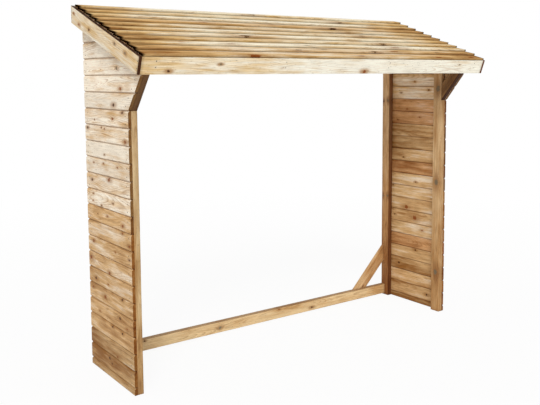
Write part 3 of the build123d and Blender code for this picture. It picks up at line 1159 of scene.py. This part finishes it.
def slat_section(number, along, lift):
    """Section of a slat: thick in front, thin at the back, and lying on the slat before it."""
    far = min(along + SLAT_WIDTH, (SLATS_END - ROOF_FRONT) / math.cos(SLOPE))
    share = (far - along) / SLAT_WIDTH
    under = lift * (1 - share)
    over = under + SLAT_FRONT + (SLAT_BACK - SLAT_FRONT) * share
    # The butt's foot, and the top from just in front of the next butt back, are darkened with painted shadow
    section = [
        (along, lift, SLAT_FOOT_SHADOW),
        (along, lift + SLAT_SHADE, SLAT_BUTT_CUT_AND_SHADE),
        (along, lift + SLAT_FRONT - SLAT_ARRIS, 0.0),
        (along + SLAT_ARRIS, lift + SLAT_FRONT, 0.0),
    ]
    if number < SLAT_COUNT:
        shaded = along + SLAT_EXPOSURE - SLAT_SHADE
        fall = (lift + SLAT_FRONT - over) / (far - along - SLAT_ARRIS)
        section.append((shaded, over + fall * (far - shaded), SLAT_SHADE_CUT))
    return section + [(far, over, SLAT_BACK_CUT), (far, under, 0.0)]


def make_slats():
    """Roof slats from the front to the back; each front edge rests on the slat before it."""
    place = placed(ROOF_CORNER, RIGHT, UP_SLOPE, OFF_SLOPE)
    for number, along, lift in laid_slats():
        boards = Boards(SLAT_SEED + number, SLAT_KNOT_STRETCH)
        left_trim = boards.chance.uniform(-SLAT_TRIM, 0)
        right_trim = boards.chance.uniform(-SLAT_TRIM, 0)
        knots = []
        for from_left, part, radius, kind in SLAT_KNOTS[number]:
            middle = -ROOF_INNER + from_left * MM
            knots.append(Knot(middle, along + part * SLAT_EXPOSURE, SLAT_KNOT_GROWTH * radius * MM, kind))
        boards.add(
            slat_section(number, along, lift),
            -ROOF_INNER - left_trim,
            ROOF_INNER + right_trim,
            place,
            SLATS[number - 1],
            knots,
        )
        boards.finish("slat_board_" + str(number), roof_wood, "roof_boards", "roof_slat_" + str(number))


# Patches of the zinc to a metre: a little over a millimetre each, so a few to a nail head
ZINC_PATCHES = 900.0


def nail_steel():
    """Galvanised wire nails gone dull: small dark grey points."""
    material = bpy.data.materials.new("dull_galvanised_steel")
    material.use_nodes = True
    tree = material.node_tree
    tree.nodes.clear()
    spot = add(tree, "TexCoord").outputs["Object"]
    patch = add(tree, "TexNoise", {"Vector": spot, "Scale": ZINC_PATCHES, "Detail": 2.0}).outputs["Fac"]
    zinc = {0: patch, 6: linear("#3d3730"), 7: linear("#7b756b")}
    zinc = add(tree, "Mix", zinc, data_type="RGBA").outputs[2]
    shader = add(tree, "BsdfPrincipled", {"Base Color": zinc, "Metallic": 0.8, "Roughness": 0.5})
    add(tree, "OutputMaterial", {"Surface": shader.outputs[0]})
    return material


steel = nail_steel()


def make_nails(name, spots, out):
    """Flat nail heads, driven nearly flush, at those places on a face that looks out."""
    mesh = bmesh.new()
    turn = out.to_track_quat("Z", "Y").to_matrix().to_4x4()
    for spot in spots:
        bmesh.ops.create_cone(
            mesh,
            cap_ends=True,
            segments=12,
            radius1=NAIL_RADIUS,
            radius2=0.8 * NAIL_RADIUS,
            depth=2 * NAIL_PROUD,
            matrix=Matrix.Translation(spot) @ turn,
        )
    piece = new_object(name, mesh, steel)
    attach(piece, "root")


def make_cladding_nails(side, word, seed):
    """Two nails through each board into each post, and into the leaning batten."""
    chance = random.Random(seed)
    spots = []
    middle = TIMBER_WIDTH / 2
    for row, low, high in courses(roof_height(REAR, TIMBER_WIDTH) - BOARD_COVER):
        for share in CLADDING_NAIL_HEIGHTS:
            z = low + share * (high - low) + chance.uniform(-NAIL_STRAY, NAIL_STRAY)
            behind = middle if z < FLARE_START else middle / math.sin(FLARE)
            for y in (flare_y(z) + behind, REAR - middle):
                stray = chance.uniform(-NAIL_SIDE_STRAY, NAIL_SIDE_STRAY)
                spots.append(Vector((side * OUTER, y + stray, z)))
    spots = [spot for spot in spots if spot.z < roof_height(spot.y, TIMBER_WIDTH)]
    make_nails(word + "_cladding_nails", spots, side * RIGHT)


def make_fascia_nails(chance, middles):
    """Two nails through the fascia into each rafter's end."""
    spots = []
    for x in middles:
        for down in FASCIA_NAIL_DEPTHS:
            beside = x + chance.uniform(-NAIL_STRAY, NAIL_STRAY)
            spots.append(ROOF_CORNER + beside * RIGHT - down * OFF_SLOPE)
    make_nails("fascia_nails", spots, -UP_SLOPE)


def make_slat_nails(chance, middles):
    """A nail through each slat into each rafter."""
    spots = []
    thinning = (SLAT_FRONT - SLAT_BACK) / SLAT_WIDTH
    for number, along, lift in laid_slats():
        back = SLAT_NAIL_SETBACK + chance.uniform(-NAIL_STRAY, NAIL_STRAY)
        top = SLAT_FRONT - thinning * back + lift * (1 - back / SLAT_WIDTH)
        for x in middles:
            beside = x + chance.uniform(-NAIL_SIDE_STRAY, NAIL_SIDE_STRAY)
            spots.append(ROOF_CORNER + beside * RIGHT + (along + back) * UP_SLOPE + top * OFF_SLOPE)
    make_nails("slat_nails", spots, OFF_SLOPE)


def make_barge_nails(side, word):
    """Two nails through each end of a barge board."""
    spots = []
    for down in BARGE_NAIL_DEPTHS:
        run = REAR - EDGE_BOARD_THICKNESS / 2 - ROOF_FRONT - down * math.sin(SLOPE)
        for along in (EDGE_BOARD_THICKNESS / 2, run / math.cos(SLOPE)):
            spots.append(ROOF_CORNER + side * ROOF_OUTER * RIGHT + along * UP_SLOPE - down * OFF_SLOPE)
    make_nails(word + "_barge_nails", spots, side * RIGHT)


def make_roof_nails():
    """The nails of the fascia, the slats and the barge boards."""
    chance = random.Random(ROOF_NAIL_SEED)
    middles = []
    for number in range(1, RAFTER_COUNT + 1):
        low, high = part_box("rafter_" + str(number))
        middles.append((low.x + high.x) / 2)
    make_fascia_nails(chance, middles)
    make_slat_nails(chance, middles)
    for side, word in ((-1, "left"), (1, "right")):
        make_barge_nails(side, word)


def seen_rays(tree):
    """1 for rays that show the surroundings, straight or in a shiny surface, and 0 for rays that light."""
    rays = add(tree, "LightPath").outputs
    shown = {0: rays["Is Camera Ray"], 1: rays["Is Glossy Ray"]}
    shown = add(tree, "Math", shown, operation="MAXIMUM").outputs[0]
    shown = {0: shown, 1: rays["Is Transmission Ray"]}
    return add(tree, "Math", shown, operation="MAXIMUM").outputs[0]


# Floor: how far it reaches, from where to where it fades, and how white it is seen under the store
FLOOR_RADIUS = 14
FADE_START, FADE_END = 2.0, 6.0
FLOOR_WHITE = 0.92


def make_floor():
    """White floor that keeps a soft shadow and fades into the white behind it."""
    mesh = bmesh.new()
    bmesh.ops.create_circle(mesh, cap_ends=True, segments=64, radius=FLOOR_RADIUS)
    material = bpy.data.materials.new("white_studio_floor")
    material.use_nodes = True
    tree = material.node_tree
    tree.nodes.clear()
    spot = add(tree, "NewGeometry").outputs["Position"]
    out = add(tree, "VectorMath", {0: spot}, operation="LENGTH").outputs["Value"]
    fade = add(tree, "MapRange", {0: out, 1: FADE_START, 2: FADE_END, 3: FLOOR_WHITE, 4: 1.0}).outputs[0]
    share = add(tree, "Math", {0: fade, 1: seen_rays(tree)}, operation="MULTIPLY").outputs[0]
    matt = add(tree, "BsdfDiffuse", {"Color": (0.9, 0.9, 0.9, 1.0)}).outputs[0]
    white = add(tree, "Emission", {"Color": (1.0, 1.0, 1.0, 1.0), "Strength": 1.0}).outputs[0]
    mixed = add(tree, "MixShader", {0: share, 1: matt, 2: white}).outputs[0]
    add(tree, "OutputMaterial", {"Surface": mixed})
    floor = new_object("studio_floor", mesh, material)
    floor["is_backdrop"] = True


# Light: the world's strength on the store, and the sun's direction, strength and width in degrees
WORLD_STRENGTH = 0.55
SUN_TOWARDS = Vector((-0.55, -0.75, 0.75))
SUN_STRENGTH = 1.7
SUN_WIDTH = 30


def make_world():
    """Soft even light, seen as white."""
    world = bpy.data.worlds.new("studio")
    bpy.context.scene.world = world
    world.use_nodes = True
    tree = world.node_tree
    tree.nodes.clear()
    strength = {0: seen_rays(tree), 1: 0.0, 2: 1.0, 3: WORLD_STRENGTH, 4: 1.0}
    strength = add(tree, "MapRange", strength).outputs[0]
    back = add(tree, "Background", {"Color": (1.0, 1.0, 1.0, 1.0), "Strength": strength}).outputs[0]
    add(tree, "OutputWorld", {"Surface": back})


def make_sun():
    """Distant soft lamp in front of the store, to its left."""
    data = bpy.data.lights.new("key", "SUN")
    data.energy = SUN_STRENGTH
    data.angle = math.radians(SUN_WIDTH)
    lamp = bpy.data.objects.new("key", data)
    lamp.rotation_euler = SUN_TOWARDS.to_track_quat("Z", "Y").to_euler()
    bpy.context.scene.collection.objects.link(lamp)


# Camera: where the photograph was taken from, by the store's parallel edges
CAMERA_PLACE = Vector((-2.70807, -3.49329, 1.60778))
CAMERA_YAW = 0.6229248
CAMERA_PITCH = -0.0964092
CAMERA_ROLL = -0.0069493
CAMERA_LENS = 49.465
CAMERA_SENSOR = 36
CAMERA_SHIFT = -0.10


def make_camera():
    """Camera at the photograph's viewing angle."""
    look = Vector(
        (
            math.sin(CAMERA_YAW) * math.cos(CAMERA_PITCH),
            math.cos(CAMERA_YAW) * math.cos(CAMERA_PITCH),
            math.sin(CAMERA_PITCH),
        )
    )
    level = Vector((math.cos(CAMERA_YAW), -math.sin(CAMERA_YAW), 0))
    upright = level.cross(look)
    right = math.cos(CAMERA_ROLL) * level + math.sin(CAMERA_ROLL) * upright
    up = -math.sin(CAMERA_ROLL) * level + math.cos(CAMERA_ROLL) * upright
    data = bpy.data.cameras.new("camera")
    data.sensor_width = CAMERA_SENSOR
    data.lens = CAMERA_LENS
    data.shift_y = CAMERA_SHIFT
    camera = bpy.data.objects.new("camera", data)
    camera.matrix_world = placed(CAMERA_PLACE, right, up, -look)
    bpy.context.scene.collection.objects.link(camera)
    bpy.context.scene.camera = camera


make_cladding(-1, "left", LEFT_SIDE_SEED, LEFT_BOARDS, LEFT_HEART, LEFT_RISE, LEFT_SIDE_KNOTS)
make_cladding(1, "right", RIGHT_SIDE_SEED, RIGHT_BOARDS, RIGHT_HEART, RIGHT_RISE, RIGHT_SIDE_KNOTS)
for side, word in ((-1, "left"), (1, "right")):
    make_front_post(side, word)
    make_rear_post(side, word)
    make_flare_batten(side, word, FLARE_SEED + side)
    make_rear_brace(side, word, BRACE_SEED + side)
    make_barge_board(side, word, BARGE_SEED + side)
    make_cladding_nails(side, word, CLADDING_NAIL_SEED + side)
for number in range(1, RAFTER_COUNT + 1):
    make_rafter(number)
make_bottom_rail()
make_top_rail("front", FRONT, FRONT_TOP_RAIL_SEED)
make_top_rail("rear", REAR - TIMBER_THICKNESS, REAR_TOP_RAIL_SEED)
make_fascia()
make_rear_board()
make_slats()
make_roof_nails()

make_floor()
make_world()
make_sun()
make_camera()
bpy.context.scene.view_settings.view_transform = "Standard"

visual_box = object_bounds()
str([[list(corner) for corner in box] for box in (cad_box, visual_box)])
